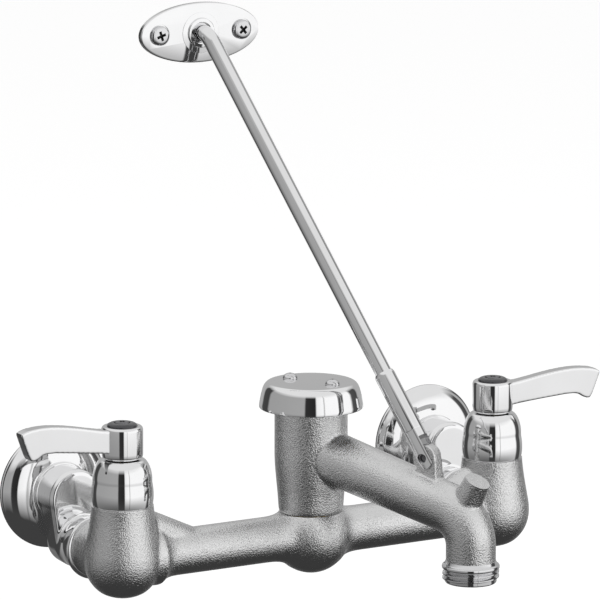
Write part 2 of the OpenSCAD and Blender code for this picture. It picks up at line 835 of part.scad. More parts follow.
module rod_washer() {
    color("gray") from_wall(plate_x, plate_height) translate([0, 0, floor_front + slip])
        ring(washer_d, spigot_d, washer_t);
}

// Wall plate: an oval with a stepped edge and a raised lip round the rod's end
lip_outer_d = 14.2;
lip_h = 1.3;
cup_d = 10.6;
plate_step = 0.7;
screw_hole_d = 5.4;
wall_screw_d = 4.8;
wall_screw_l = 8.5;
wall_screw_neck_d = 4.2;
wall_screw_head_d = 9.4;

module plate_oval(inset) {
    polygon(oval([0, 0], plate_w / 2 - inset, plate_h / 2 - inset, 0, 352.5, 47));
}

module wall_plate() {
    color("silver") from_wall(plate_x, plate_height) difference() {
        union() {
            linear_extrude(plate_t - plate_step) plate_oval(0);
            linear_extrude(plate_t) plate_oval(plate_step);
            cylinder(d = lip_outer_d, h = plate_t + lip_h);
        }
        translate([0, 0, floor_front]) cylinder(d = cup_d, h = plate_t + lip_h);
        translate([0, 0, -past]) cylinder(d = spigot_d + 2 * slip, h = plate_t + past);
        translate([0, 0, -past]) cylinder(d = rivet_d + 2 * gap, h = floor_front - floor_t + past);
        for (side = [left, right]) translate([side * plate_screw_pitch / 2, 0, -past])
            cylinder(d = screw_hole_d, h = plate_t + 2 * past);
    }
}

module wall_screws() {
    color("gainsboro") from_wall(plate_x, plate_height) for (side = [left, right])
        translate([side * plate_screw_pitch / 2, 0, 0]) rotate(18) {
            translate([0, 0, plate_t])
                pan_screw(wall_screw_head_d, head_h, wall_screw_neck_d, plate_t + past);
            translate([0, 0, -wall_screw_l]) cylinder(d = wall_screw_d, h = wall_screw_l);
        }
}

crossbar_body();
spout_casting();
spout_post();
post_seal();
post_nut();
breaker_seat();
breaker_poppet();
breaker_guide();
breaker_cap();
cap_screws();
brace_fork();
fork_pin();
brace_sleeve();
brace_rod();
rod_washer();
wall_plate();
wall_screws();
offset_arm(left);  // offset_arm_left
offset_arm(right);  // offset_arm_right
wall_flange(left);  // wall_flange_left
wall_flange(right);  // wall_flange_right
union_ring(left);  // union_ring_left
union_ring(right);  // union_ring_right
inlet_washer(left);  // inlet_washer_left
inlet_washer(right);  // inlet_washer_right
bonnet(left);  // bonnet_left
bonnet(right);  // bonnet_right
cartridge(left);  // cartridge_left
cartridge(right);  // cartridge_right
seat_disc(left);  // seat_disc_left
seat_disc(right);  // seat_disc_right
turn_disc(left);  // turn_disc_left
turn_disc(right);  // turn_disc_right
valve_stem(left);  // valve_stem_left
valve_stem(right);  // valve_stem_right
handle(left);  // handle_left
handle(right);  // handle_right
index_ring(left);  // index_ring_left
index_ring(right);  // index_ring_right
handle_screw(left);  // handle_screw_left
handle_screw(right);  // handle_screw_right
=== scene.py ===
# Wall faucet for a service sink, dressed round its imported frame
import json
import math
import bmesh
import bpy
from mathutils import Matrix, Vector


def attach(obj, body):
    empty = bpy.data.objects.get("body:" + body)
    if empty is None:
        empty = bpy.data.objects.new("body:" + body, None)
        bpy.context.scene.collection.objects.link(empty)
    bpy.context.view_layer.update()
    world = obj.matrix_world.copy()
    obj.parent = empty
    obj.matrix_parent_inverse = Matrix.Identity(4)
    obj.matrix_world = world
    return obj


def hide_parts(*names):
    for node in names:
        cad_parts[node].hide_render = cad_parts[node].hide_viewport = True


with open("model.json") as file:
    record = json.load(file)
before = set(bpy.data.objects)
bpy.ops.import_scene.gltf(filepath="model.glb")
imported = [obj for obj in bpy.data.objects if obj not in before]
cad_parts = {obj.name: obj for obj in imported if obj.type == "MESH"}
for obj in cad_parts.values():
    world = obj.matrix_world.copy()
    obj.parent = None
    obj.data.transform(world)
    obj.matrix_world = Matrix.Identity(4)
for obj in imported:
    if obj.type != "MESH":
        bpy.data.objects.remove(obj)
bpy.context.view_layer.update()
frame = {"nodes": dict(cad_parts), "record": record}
print("frame loaded:", len(frame["nodes"]), "nodes")

mm = 0.001

# Places shared by the pieces, in millimetres, as the frame has them
layout = {
    "valveX": 101.6,
    "inletX": 103.6,
    "wallGap": 65.0,
    "bodyZ": -21.0,
    "valveZ": 4.9,
    "spoutTurn": 24.0,
    "plateX": -24.3985,
    "plateZ": 212.5,
    "pinReach": 66.2,
    "pinZ": 24.9,
    "braceRise": 56.0739,
}
leverAngle = {"left": 180.0, "right": -13.0}
sideSign = {"left": -1, "right": 1}


# modelling helpers
def deselect():
    if bpy.context.object and bpy.context.object.mode != "OBJECT":
        bpy.ops.object.mode_set(mode="OBJECT")
    bpy.ops.object.select_all(action="DESELECT")


def pick(*objects):
    deselect()
    for item in objects:
        item.select_set(True)
    bpy.context.view_layer.objects.active = objects[-1]


def editMode(kind="VERT"):
    bpy.ops.object.mode_set(mode="EDIT")
    bpy.ops.mesh.select_mode(type=kind)


def objectMode():
    bpy.ops.object.mode_set(mode="OBJECT")


def selectFaces(piece, wanted):
    bpy.ops.mesh.select_all(action="DESELECT")
    mesh = bmesh.from_edit_mesh(piece.data)
    for face in mesh.faces:
        face.select = wanted(face)
    bmesh.update_edit_mesh(piece.data)


def facesDown(face):
    return face.normal.z < -0.9


def extrudeBy(step):
    bpy.ops.mesh.extrude_region_move(TRANSFORM_OT_translate={"value": step})


def settle(piece):
    # the object goes back to the origin and its place stays in the mesh
    pick(piece)
    bpy.ops.object.transform_apply(location=True, rotation=True, scale=True)
    return piece


def cleanUp(piece):
    pick(piece)
    editMode()
    bpy.ops.mesh.select_all(action="SELECT")
    bpy.ops.mesh.remove_doubles(threshold=0.00001)
    bpy.ops.mesh.normals_make_consistent(inside=False)
    objectMode()


def rounded(corners, steps=4):
    # corners are (radius, height, fillet); each fillet becomes a short arc
    points = []
    for i, (r, h, fillet) in enumerate(corners):
        here = Vector((r, h))
        if fillet <= 0 or i == 0 or i == len(corners) - 1:
            points.append((r, h))
            continue
        back = Vector(corners[i - 1][:2]) - here
        ahead = Vector(corners[i + 1][:2]) - here
        reach = min(fillet, back.length * 0.49, ahead.length * 0.49)
        start = here + back.normalized() * reach
        end = here + ahead.normalized() * reach
        for k in range(steps + 1):
            t = k / steps
            spot = start * (1 - t) ** 2 + here * 2 * t * (1 - t) + end * t ** 2
            points.append((spot.x, spot.y))
    return points


def turned(name, profile, steps=96):
    # a point is extruded along the profile and spun round Z
    deselect()
    bpy.ops.mesh.primitive_plane_add(size=0.001)
    piece = bpy.context.object
    piece.name = name
    editMode()
    bpy.ops.mesh.merge(type="CENTER")
    r, h = profile[0]
    bpy.ops.transform.translate(value=(r * mm, 0, h * mm))
    for r2, h2 in profile[1:]:
        extrudeBy(((r2 - r) * mm, 0, (h2 - h) * mm))
        r, h = r2, h2
    bpy.ops.mesh.select_all(action="SELECT")
    bpy.ops.mesh.spin(steps=steps, angle=2 * math.pi, center=(0, 0, 0), axis=(0, 0, 1))
    objectMode()
    cleanUp(piece)
    return piece


def turnedRing(name, corners, steps=96):
    # a hollow piece, whose profile closes on its first point
    profile = rounded(corners)
    return turned(name, profile + [profile[0]], steps)


def setDown(piece, place=(0, 0, 0), turn=(0, 0, 0)):
    piece.location = [v * mm for v in place]
    piece.rotation_euler = [math.radians(v) for v in turn]
    return settle(piece)


def towardRoom(piece, x, z):
    # local Z of a wall piece points out of the wall, along -Y
    return setDown(piece, (x, 0, z), (90, 0, 0))


def onValve(piece, side, z=0.0, turn=0.0):
    place = (sideSign[side] * layout["valveX"], -layout["wallGap"], z)
    return setDown(piece, place, (0, 0, turn))


def onSpout(piece):
    return setDown(piece, (0, -layout["wallGap"], 0), (0, 0, layout["spoutTurn"]))


def onBrace(piece):
    # local Z runs up the brace from the fork's pin
    setDown(piece, (0, -layout["pinReach"], layout["pinZ"]), (layout["braceRise"] - 90, 0, 0))
    return onSpout(piece)


def copyOf(piece, name):
    pick(piece)
    bpy.ops.object.duplicate()
    twin = bpy.context.object
    twin.name = name
    return twin


def mirrored(piece, name):
    twin = copyOf(piece, name)
    pick(twin)
    twin.scale = (-1, 1, 1)
    bpy.ops.object.transform_apply(location=False, rotation=False, scale=True)
    cleanUp(twin)
    return twin


def joined(name, *parts):
    pick(*parts)
    bpy.ops.object.join()
    piece = bpy.context.object
    piece.name = name
    return piece


def applied(piece, kind, **values):
    pick(piece)
    modifier = piece.modifiers.new(kind.lower(), kind)
    for key, value in values.items():
        setattr(modifier, key, value)
    bpy.ops.object.modifier_apply(modifier=modifier.name)
    return piece


def melted(piece, voxel, rounds):
    # overlapping solids become one casting with soft inner corners
    applied(piece, "REMESH", mode="VOXEL", voxel_size=voxel * mm, use_smooth_shade=True)
    applied(piece, "SMOOTH", factor=0.5, iterations=rounds)
    return piece


def combined(piece, other, operation):
    applied(piece, "BOOLEAN", operation=operation, solver="EXACT", object=other)
    bpy.data.objects.remove(other)
    return piece


def cutBy(piece, *cutters):
    for cutter in cutters:
        combined(piece, cutter, "DIFFERENCE")
    return piece


def block(low, high):
    deselect()
    middle = [(a + b) / 2 * mm for a, b in zip(low, high)]
    bpy.ops.mesh.primitive_cube_add(size=1, location=middle)
    piece = bpy.context.object
    piece.scale = [(b - a) * mm for a, b in zip(low, high)]
    return settle(piece)


def rod(radius, bottom, top, sides=64, radius2=None):
    deselect()
    bpy.ops.mesh.primitive_cone_add(
        vertices=sides, radius1=radius * mm, radius2=(radius if radius2 is None else radius2) * mm,
        depth=(top - bottom) * mm, location=(0, 0, (top + bottom) / 2 * mm))
    return settle(bpy.context.object)


def slab(bottom, top, x=0, half=30):
    # a cutter that takes off all between two heights
    return block((x - half, -half, bottom), (x + half, half, top))


def dress(piece, body, slot, material, *nodes, angle=32):
    # a piece that brings a second material keeps it
    pick(piece)
    bpy.ops.object.shade_smooth_by_angle(angle=math.radians(angle))
    if len(piece.data.materials) < 2:
        piece.data.materials.clear()
        piece.data.materials.append(material)
    piece.data.materials[0] = material
    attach(piece, body)
    if nodes:
        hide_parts(*nodes)
    return piece


# materials
black = (0, 0, 0)
white = (1, 1, 1)


def newGroup(name, inputs, outputs):
    group = bpy.data.node_groups.new(name, "ShaderNodeTree")
    for label, value in inputs:
        socket = group.interface.new_socket(
            name=label, in_out="INPUT", socket_type="NodeSocketFloat")
        socket.default_value = value
    for label in outputs:
        group.interface.new_socket(name=label, in_out="OUTPUT", socket_type="NodeSocketFloat")
    return group, group.nodes.new("NodeGroupInput"), group.nodes.new("NodeGroupOutput")


def addGroup(nodes, group, values):
    node = nodes.new("ShaderNodeGroup")
    node.node_tree = group
    for label, value in values.items():
        node.inputs[label].default_value = value
    return node


def addColourMix(nodes, colours):
    mix = nodes.new("ShaderNodeMix")
    mix.data_type = "RGBA"
    for label, colour in colours.items():
        mix.inputs[label].default_value = (*colour, 1)
    return mix


def addSpread(nodes, low, high):
    spread = nodes.new("ShaderNodeMapRange")
    spread.inputs["From Min"].default_value = low
    spread.inputs["From Max"].default_value = high
    return spread


def makeCastGrain():
    # the sandy skin of a casting plated without polishing: pebbles for the bump, and a painted shade
    # that darkens the colour in the pits between them
    inputs = [("Scale", 1400.0), ("Coarse Share", 0.35), ("Pit Painted Shade", 0.6)]
    group, given, result = newGroup("castGrain", inputs, ["Height", "Shade"])
    nodes, links = group.nodes, group.links
    place = nodes.new("ShaderNodeTexCoord")
    fine = nodes.new("ShaderNodeTexNoise")
    fine.inputs["Detail"].default_value = 1.5
    fine.inputs["Roughness"].default_value = 0.6
    coarse = nodes.new("ShaderNodeTexNoise")
    coarse.inputs["Detail"].default_value = 2.0
    coarseScale = nodes.new("ShaderNodeMath")
    coarseScale.operation = "MULTIPLY"
    coarseScale.inputs[1].default_value = 0.22
    blend = nodes.new("ShaderNodeMix")
    blend.data_type = "FLOAT"
    pits = addSpread(nodes, 0.36, 0.6)
    links.new(place.outputs["Object"], fine.inputs["Vector"])
    links.new(place.outputs["Object"], coarse.inputs["Vector"])
    links.new(given.outputs["Scale"], fine.inputs["Scale"])
    links.new(given.outputs["Scale"], coarseScale.inputs[0])
    links.new(coarseScale.outputs[0], coarse.inputs["Scale"])
    links.new(given.outputs["Coarse Share"], blend.inputs["Factor"])
    links.new(fine.outputs["Fac"], blend.inputs["A"])
    links.new(coarse.outputs["Fac"], blend.inputs["B"])
    links.new(blend.outputs["Result"], result.inputs["Height"])
    # painted shade: the fine noise that makes the pits also darkens the colour there
    links.new(fine.outputs["Fac"], pits.inputs["Value"])
    links.new(given.outputs["Pit Painted Shade"], pits.inputs["To Min"])
    links.new(pits.outputs["Result"], result.inputs["Shade"])
    return group


def makeCloud(name, output, scale, ends, detail, contrast):
    # a soft cloud that drifts between a low and a high value over the surface
    inputs = [("Scale", scale), ("Low", ends[0]), ("High", ends[1])]
    group, given, result = newGroup(name, inputs, [output])
    nodes, links = group.nodes, group.links
    place = nodes.new("ShaderNodeTexCoord")
    cloud = nodes.new("ShaderNodeTexNoise")
    cloud.inputs["Detail"].default_value = detail
    spread = addSpread(nodes, *contrast)
    links.new(place.outputs["Object"], cloud.inputs["Vector"])
    links.new(given.outputs["Scale"], cloud.inputs["Scale"])
    links.new(cloud.outputs["Fac"], spread.inputs["Value"])
    links.new(given.outputs["Low"], spread.inputs["To Min"])
    links.new(given.outputs["High"], spread.inputs["To Max"])
    links.new(spread.outputs["Result"], result.inputs[output])
    return group


castGrain = makeCastGrain()
# faint uneven polish, as plating has after it is wiped and handled
handling = makeCloud("handling", "Roughness", 90.0, (0.05, 0.1), 4.0, (0.35, 0.65))
# a slight drift in a colour's strength
tone = makeCloud("tone", "Value", 60.0, (0.9, 1.0), 3.0, (0.3, 0.7))


def finishOf(name, values):
    # one Principled surface; the shared groups drive its colour, roughness and bump
    material = bpy.data.materials.new(name)
    material.use_nodes = True
    nodes, links = material.node_tree.nodes, material.node_tree.links
    surface = nodes["Principled BSDF"]
    surface.inputs["Metallic"].default_value = values.get("metallic", 0.0)
    if "coat" in values:
        surface.inputs["Coat Weight"].default_value = values["coat"]
        surface.inputs["Coat Roughness"].default_value = 0.12
    lowRough, highRough = values["rough"]
    wear = addGroup(nodes, handling, {"Low": lowRough, "High": highRough})
    links.new(wear.outputs["Roughness"], surface.inputs["Roughness"])
    drift = addGroup(nodes, tone, {"Low": values.get("toneLow", 0.93)})
    shade = addColourMix(nodes, {"A": black, "B": values["color"]})
    links.new(drift.outputs["Value"], shade.inputs["Factor"])
    links.new(shade.outputs["Result"], surface.inputs["Base Color"])
    if "grain" in values:
        skin = values["grain"]
        grain = addGroup(nodes, castGrain, {
            "Scale": skin["scale"], "Coarse Share": skin["coarse"], "Pit Painted Shade": skin["pitPaintedShade"]})
        bump = nodes.new("ShaderNodeBump")
        bump.inputs["Strength"].default_value = skin["strength"]
        bump.inputs["Distance"].default_value = skin["depth"] * mm
        links.new(grain.outputs["Height"], bump.inputs["Height"])
        links.new(bump.outputs["Normal"], surface.inputs["Normal"])
        # painted shade: the colour is darkened in the grain's pits
        pitShaded = addColourMix(nodes, {"A": black})
        links.new(grain.outputs["Shade"], pitShaded.inputs["Factor"])
        links.new(shade.outputs["Result"], pitShaded.inputs["B"])
        links.new(pitShaded.outputs["Result"], surface.inputs["Base Color"])
    return material


# rough is the least and most roughness, toneLow the weakest share of the colour
finishes = {
    "roughChrome": {
        "color": (0.81, 0.81, 0.81), "metallic": 1.0, "rough": (0.08, 0.12), "toneLow": 0.95,
        "grain": {"scale": 1550.0, "strength": 1.0, "depth": 0.36, "coarse": 0.1, "pitPaintedShade": 0.95}},
    "polishedChrome": {
        "color": (0.95, 0.95, 0.955), "metallic": 1.0, "rough": (0.03, 0.06), "toneLow": 0.97},
    "machinedChrome": {
        "color": (0.84, 0.84, 0.85), "metallic": 1.0, "rough": (0.07, 0.12), "toneLow": 0.93},
    "screwSteel": {
        "color": (0.8, 0.8, 0.81), "metallic": 1.0, "rough": (0.08, 0.16), "toneLow": 0.9},
    "darkScrew": {
        "color": (0.22, 0.22, 0.23), "metallic": 1.0, "rough": (0.15, 0.25), "toneLow": 0.8},
    # a painted shade for the insides of screw recesses
    "recessPaintedShade": {"color": (0.03, 0.03, 0.03), "rough": (0.5, 0.7), "toneLow": 0.7},
    "darkIndex": {
        "color": (0.035, 0.035, 0.04), "rough": (0.18, 0.32), "coat": 0.6, "toneLow": 0.8},
    "brassMetal": {
        "color": (0.72, 0.56, 0.28), "metallic": 1.0, "rough": (0.18, 0.34), "toneLow": 0.85},
    "discCeramic": {"color": (0.88, 0.88, 0.85), "rough": (0.2, 0.3), "coat": 0.4},
    "sealRubber": {
        "color": (0.03, 0.03, 0.03), "rough": (0.55, 0.75),
        "grain": {"scale": 2200.0, "strength": 0.3, "depth": 0.1, "coarse": 0.35, "pitPaintedShade": 0.9}},
    "poppetPlastic": {"color": (0.82, 0.82, 0.78), "rough": (0.4, 0.55)},
}
looks = {name: finishOf(name, values) for name, values in finishes.items()}
print("materials made:", len(looks))


# the foot of a cross recess as shares of its mouth, and its depth as a share of the head
crossTaper = (0.45, 0.6, 1)
crossDepth = 0.7


def crossCutter(width, length, depth, bottom):
    arms = []
    for turn in (0, 90):
        low = (-length / 2, -width / 2, bottom)
        arm = block(low, (length / 2, width / 2, bottom + 2 * depth))
        pick(arm)
        editMode("FACE")
        selectFaces(arm, facesDown)
        bpy.ops.transform.resize(value=crossTaper, center_override=(0, 0, bottom * mm))
        objectMode()
        setDown(arm, (0, 0, 0), (0, 0, turn))
        arms.append(arm)
    return arms


# screw heads as shares of their radius and height
panHead = [(1, 0.08), (1, 0.45), (0.94, 0.78), (0.8, 0.95), (0.6, 1), (0, 1)]
roundAngles = [math.radians(a) for a in range(6, 85, 6)]
roundHead = [(math.cos(a), math.sin(a)) for a in roundAngles] + [(0, 1)]


def crossScrew(name, values):
    radius, height = values["headRadius"], values["headHeight"]
    shank, length = values["shankRadius"], values["shankLength"]
    profile = [(0, -length), (shank, -length), (shank, 0), (radius * 0.96, 0)]
    profile += [(r * radius, h * height) for r, h in values["head"]]
    piece = turned(name, profile, 48)
    depth = height * crossDepth
    cutBy(piece, *crossCutter(values["crossWidth"], values["crossLength"], depth, height - depth))
    recessFoot = (height - depth) * mm

    def inRecess(face):
        middle = face.calc_center_median()
        within = math.hypot(middle.x, middle.y) < radius * 0.6 * mm and middle.z > recessFoot * 0.9
        return within and (abs(face.normal.z) < 0.75 or middle.z < recessFoot * 1.1)

    # the recess faces get a second, near-black material: a painted shade inside the cross recess
    piece.data.materials.append(looks["screwSteel"])
    piece.data.materials.append(looks["recessPaintedShade"])
    pick(piece)
    editMode("FACE")
    selectFaces(piece, inRecess)
    piece.active_material_index = 1
    bpy.ops.object.material_slot_assign()
    objectMode()
    return piece


# every CAD node wears the look of its slot, for those that no piece replaces
slotLook = {
    "rough_chrome": "roughChrome", "polished_chrome": "polishedChrome",
    "steel_fasteners": "screwSteel", "dark_index": "darkIndex", "brass": "brassMetal",
    "ceramic": "discCeramic", "rubber": "sealRubber", "poppet_plastic": "poppetPlastic",
}
for part in frame["record"]["subparts"]:
    holder = frame["nodes"][part["node"]]
    holder.data.materials.clear()
    holder.data.materials.append(looks[slotLook[part["material_slot"]]])


# crossbar casting
crossbar = {
    # distance out along the bar, and its radius there
    "flare": [(0, 15.6), (11, 15.2), (12.5, 13.9), (14, 12.9), (16, 12.0), (18.5, 11.35),
              (21.5, 10.95), (25, 10.85), (75, 10.85), (78.5, 11.1), (81.3, 11.8), (83.2, 12.8),
              (84.6, 14.2), (101.6, 13)],
    # radius and height
    "bulb": [(0, -18.1), (5, -17.6), (8.5, -16.4), (11.2, -14.9), (13.6, -12.6), (15.6, -9.9),
             (16.9, -7.2), (17.8, -4), (18.15, -0.8), (18.0, 3), (17.3, 7), (16.5, 11.3),
             (15.7, 16), (15.1, 20), (14.65, 24), (14.5, 25.9), (14.45, 29), (0, 29)],
    "bulbTop": 25.9,
    # a web rises from the bar's top to each bulb: distance out and height at its two ends
    "web": ((56, 0.4), (90, 16.4)),
    "webRadius": 6.4,
    "hubRadius": 18.6,
    "hubTop": 11.2,
    "tailRadius": 13.6,
    "tailLength": 29.0,
    "tailEnd": 39.5,
    "valveBore": 11.0,
    "valveFloor": 9.0,
    "waterway": 6.5,
    "postBore": 9.0,
    "postDepth": 8.0,
    "edge": 0.4,
    "voxel": 0.85,
    "smoothing": 9,
}
halfBar = [(r, x) for x, r in crossbar["flare"]]
barEnd = halfBar[-1][1]
barProfile = [(0, -barEnd)] + [(r, -x) for r, x in reversed(halfBar[1:])] + halfBar + [(0, barEnd)]
bar = setDown(turned("bar", barProfile, 72), (0, 0, 0), (0, 90, 0))
hubRadius = crossbar["hubRadius"]
hubAngles = [math.radians(a) for a in range(0, 181, 6)]
hub = turned("hub", [(hubRadius * math.sin(a), -hubRadius * math.cos(a)) for a in hubAngles], 72)
castParts = [bar, hub]
(webX0, webZ0), (webX1, webZ1) = crossbar["web"]
webTurn = math.degrees(math.atan2(webX1 - webX0, webZ1 - webZ0))
webLength = math.hypot(webX1 - webX0, webZ1 - webZ0)
for sign in (-1, 1):
    x = sign * layout["valveX"]
    bulb = setDown(turned("bulb", crossbar["bulb"], 72), (x, 0, 0))
    tail = setDown(rod(crossbar["tailRadius"], 0, crossbar["tailLength"]), (x, 0, 0), (-90, 0, 0))
    web = rod(crossbar["webRadius"], 0, webLength, 48)
    setDown(web, (sign * webX0, 0, webZ0), (0, sign * webTurn, 0))
    castParts += [bulb, tail, web]
crossbarShell = joined("crossbarShell", *castParts)
melted(crossbarShell, crossbar["voxel"], crossbar["smoothing"])
cutBy(crossbarShell, slab(crossbar["hubTop"], 40))
tailCut = layout["wallGap"] - crossbar["tailEnd"]
for sign in (-1, 1):
    x = sign * layout["valveX"]
    cutBy(crossbarShell, slab(crossbar["bulbTop"], 40, x),
          block((x - 20, tailCut, -20), (x + 20, 40, 20)))
    cutBy(crossbarShell, setDown(rod(crossbar["valveBore"], crossbar["valveFloor"], 40), (x, 0, 0)),
          setDown(rod(crossbar["waterway"], 0, 40), (x, 0, 0), (-90, 0, 0)))
cutBy(crossbarShell, rod(crossbar["postBore"], crossbar["hubTop"] - crossbar["postDepth"], 40))
applied(crossbarShell, "BEVEL", width=crossbar["edge"] * mm, segments=2, limit_method="ANGLE",
        angle_limit=math.radians(50), harden_normals=False)
setDown(crossbarShell, (0, -layout["wallGap"], layout["bodyZ"]))
dress(crossbarShell, "body", "rough_chrome", looks["roughChrome"], "crossbar_body")
print("crossbar done")


# spout casting
spout = {
    # radius and height
    "column": [(0, -14), (14.6, -14), (14.8, -9.4), (15.3, -8.6), (15.9, -0.2), (16.4, 4.6),
               (17.05, 12), (17.3, 17), (17.3, 47), (0, 47)],
    "columnFoot": -9.3,
    "columnTop": 44.0,
    # radius, bottom and top of the bores for the post, the riser and the breaker
    "bores": [(9.05, -12, 0), (11.3, -0.8, 50), (13.8, 24, 50)],
    "armZ": 20.4,
    "armFall": 12.9,
    "rootRadius": 12.7,
    "neckRadius": 11.65,
    "reach": 91.0,
    "bendRadius": 17.0,
    "outlet": -31.0,
    "tubeFoot": 4.4,
    "lugRadius": 6.3,
    "lugThickness": 6.3,
    "lugFootZ": 8.0,
    "lugFootBack": 3.6,
    "lugFootSpread": (1.4, 1.25, 1),
    "pinHole": 2.05,
    "hookTop": 17.3,
    "hookReach": 94.4,
    "hookLean": 28.0,
    "hookRadius": 6.1,
    "hookFlare": 1.5,
    "hookLength": 18.0,
    "voxel": 0.62,
    "smoothing": 9,
}
bendTurn = 90 - spout["armFall"]
joinZ = spout["armZ"] - spout["reach"] * math.tan(math.radians(spout["armFall"]))
bendTangent = spout["bendRadius"] * math.tan(math.radians(bendTurn / 2))
neckTop = joinZ - bendTangent
armLength = spout["reach"] / math.cos(math.radians(spout["armFall"])) - bendTangent


def bentTube(name, radius, foot, rootRadius):
    # a ring is extruded up the neck, spun round the bend and extruded back along the arm
    deselect()
    bpy.ops.mesh.primitive_circle_add(vertices=64, radius=radius * mm, fill_type="NGON",
                                      location=(0, -spout["reach"] * mm, foot * mm))
    piece = bpy.context.object
    piece.name = name
    settle(piece)
    editMode("FACE")
    bpy.ops.mesh.select_all(action="SELECT")
    extrudeBy((0, 0, (neckTop - foot) * mm))
    centre = (0, (spout["bendRadius"] - spout["reach"]) * mm, neckTop * mm)
    bpy.ops.mesh.spin(steps=24, angle=math.radians(bendTurn), center=centre, axis=(1, 0, 0))
    fall = math.radians(spout["armFall"])
    extrudeBy(Vector((0, math.cos(fall), math.sin(fall))) * armLength * mm)
    grow = rootRadius / radius
    bpy.ops.transform.resize(value=(grow, grow, grow), center_override=(0, 0, spout["armZ"] * mm))
    objectMode()
    cleanUp(piece)
    return piece


column = turned("column", spout["column"], 72)
tube = bentTube("tube", spout["neckRadius"], spout["outlet"] + spout["tubeFoot"], spout["rootRadius"])
lugPlace = (0, -layout["pinReach"], layout["pinZ"])
lugHalf = spout["lugThickness"] / 2
lugDisc = setDown(rod(spout["lugRadius"], -lugHalf, lugHalf), lugPlace, (0, 90, 0))
lugFoot = block((-lugHalf, -layout["pinReach"] - spout["lugRadius"], spout["lugFootZ"]),
                (lugHalf, -layout["pinReach"] + spout["lugFootBack"], layout["pinZ"]))
pick(lugFoot)
editMode("FACE")
selectFaces(lugFoot, facesDown)
bpy.ops.transform.resize(value=spout["lugFootSpread"],
                         center_override=(0, -layout["pinReach"] * mm, spout["lugFootZ"] * mm))
objectMode()
hookPlace, hookTurn = (0, -spout["hookReach"], spout["hookTop"]), (spout["hookLean"], 0, 0)
hook = rod(spout["hookRadius"] + spout["hookFlare"], -spout["hookLength"], 2.5, 64,
           spout["hookRadius"] - 0.2)
setDown(hook, hookPlace, hookTurn)
spoutShell = joined("spoutShell", column, tube, lugDisc, lugFoot, hook)
melted(spoutShell, spout["voxel"], spout["smoothing"])
cutBy(spoutShell, slab(-40, spout["columnFoot"]), slab(spout["columnTop"], 60))
cutBy(spoutShell, *[rod(*bore) for bore in spout["bores"]])
cutBy(spoutShell, setDown(slab(0, 12, half=12), hookPlace, hookTurn))
cutBy(spoutShell, setDown(rod(spout["pinHole"], -10, 10, 32), lugPlace, (0, 90, 0)))

hose = {
    # radius, height and fillet, here and in the profiles below
    "profile": [(0, 10.2, 0), (spout["neckRadius"] + 0.1, 10.2, 0), (12.5, 8.7, 0.6),
                (13.45, 8.2, 0.7), (13.45, 6.6, 0.7), (12.1, 6.2, 0.2), (12.1, 0.35, 0.3),
                (11.7, 0, 0), (7.5, 0, 0), (7.5, 4, 0), (0, 4, 0)],
    "pitch": 25.4 / 11.5,
    "threadRoot": 11.9,
    "threadDepth": 1.35,
    "threadFoot": 1.9,
    "threadTip": 0.3,
    "threadStart": 0.35,
}
hoseCollar = turned("hoseCollar", rounded(hose["profile"]))
setDown(hoseCollar, (0, -spout["reach"], spout["outlet"]))
# one thread crest is a strip narrowed at its tip and swept up in a spiral
deselect()
bpy.ops.mesh.primitive_plane_add(size=1, rotation=(math.pi / 2, 0, 0))
thread = bpy.context.object
thread.scale = (hose["threadDepth"] * mm, hose["threadFoot"] * mm, 1)
crestX = (hose["threadRoot"] + hose["threadDepth"] / 2) * mm
crestZ = hose["threadFoot"] / 2 * mm
thread.location = (crestX, 0, crestZ)
settle(thread)
editMode("EDGE")
bpy.ops.mesh.select_all(action="DESELECT")
crest = bmesh.from_edit_mesh(thread.data)
for edge in crest.edges:
    edge.select = min(v.co.x for v in edge.verts) > (hose["threadRoot"] + 0.1) * mm
bmesh.update_edit_mesh(thread.data)
bpy.ops.transform.resize(value=(1, 1, hose["threadTip"]), center_override=(0, 0, crestZ))
objectMode()
applied(thread, "SCREW", angle=2 * math.pi, screw_offset=hose["pitch"] * mm, iterations=2, steps=72,
        render_steps=72, axis="Z", use_merge_vertices=False)
pick(thread)
editMode()
bpy.ops.mesh.select_all(action="SELECT")
bpy.ops.mesh.fill_holes(sides=8)
objectMode()
cleanUp(thread)
setDown(thread, (0, -spout["reach"], spout["outlet"] + hose["threadStart"]))
# the hose end is machined after casting, so it has a second material
hoseEnd = joined("hoseEnd", thread, hoseCollar)
hoseEnd.data.materials.append(looks["machinedChrome"])
spoutShell.data.materials.append(looks["roughChrome"])
spoutShell = joined("spoutShell", hoseEnd, spoutShell)
onSpout(spoutShell)
dress(spoutShell, "spout", "rough_chrome", looks["roughChrome"], "spout_casting")
print("spout done")


# vacuum breaker cap
cap = {
    "profile": [(23.2, 0, 0), (24.6, 0, 0.4), (24.55, 1.6, 0.4), (24.2, 3.4, 0.6), (23.7, 6.2, 0.8),
                (22.9, 9.2, 0.8), (22.0, 11.0, 1.4), (20.6, 12.15, 1.6), (17.5, 12.3, 0),
                (0, 12.3, 0), (0, 10.3, 0), (20.4, 10.3, 0.8), (22.4, 6.2, 0.5), (23.2, 1.5, 0)],
    "foot": 40.5,
    "height": 12.3,
    "screwReach": 12.2,
    "screwHole": 1.55,
}
capScrew = {
    "head": roundHead, "headRadius": 3.6, "headHeight": 2.5, "shankRadius": 1.5,
    "shankLength": 7.5, "crossWidth": 0.6, "crossLength": 2.6,
}
capShell = turnedRing("capShell", cap["profile"], 128)
cutBy(capShell, *[setDown(rod(cap["screwHole"], 8, 14, 32), (0, sign * cap["screwReach"], 0))
                  for sign in (-1, 1)])
setDown(capShell, (0, 0, cap["foot"]))
onSpout(capShell)
dress(capShell, "spout", "polished_chrome", looks["polishedChrome"], "breaker_cap")

